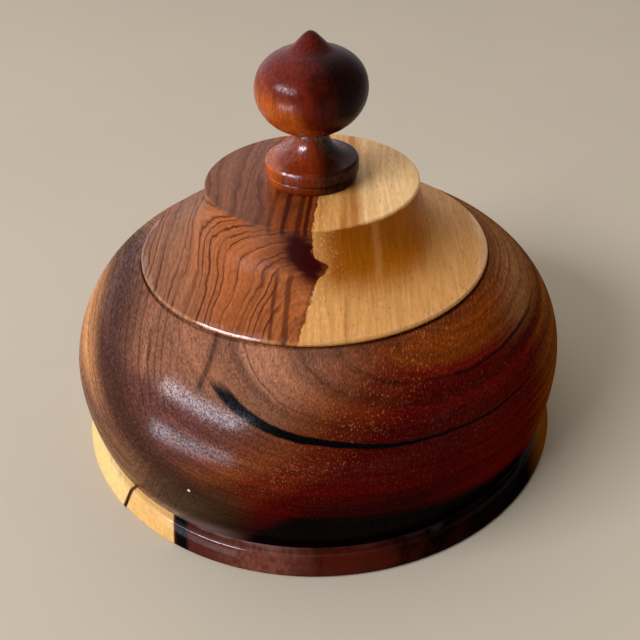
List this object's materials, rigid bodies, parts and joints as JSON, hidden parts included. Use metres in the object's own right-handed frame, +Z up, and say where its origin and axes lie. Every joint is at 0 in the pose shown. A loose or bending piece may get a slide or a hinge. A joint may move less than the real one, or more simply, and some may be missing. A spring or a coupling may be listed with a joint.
{
  "type": "lidded wooden pot",
  "caption": "Squat turned wooden pot on a wider foot, with a lift-off flat-topped lid and an onion-shaped knob.",
  "frame": {"origin": "middle of the foot's underside, where the pot stands", "axes": "+Z up along the turning axis; the picture's camera looks from the -Y side"},
  "size_m": [0.12, 0.12, 0.0973],
  "materials": {
    "foot_wood": "dark hardwood with a patch of blond sapwood, lacquered",
    "bowl_wood": "streaked red-brown hardwood, glossy lacquer",
    "lid_wood": "half brown heartwood, half golden sapwood, satin",
    "knob_wood": "dark red hardwood, high gloss"
  },
  "bodies": {
    "pot": {"foot_ring": "foot_wood", "pot_bowl": "bowl_wood"},
    "lid": {"lid": "lid_wood", "knob": "knob_wood"}
  },
  "joints": [
    {"name": "lid_lift", "type": "slide", "parent": "pot", "child": "lid", "axis": [0, 0, 1], "range_m": [0, 0.08]}
  ]
}
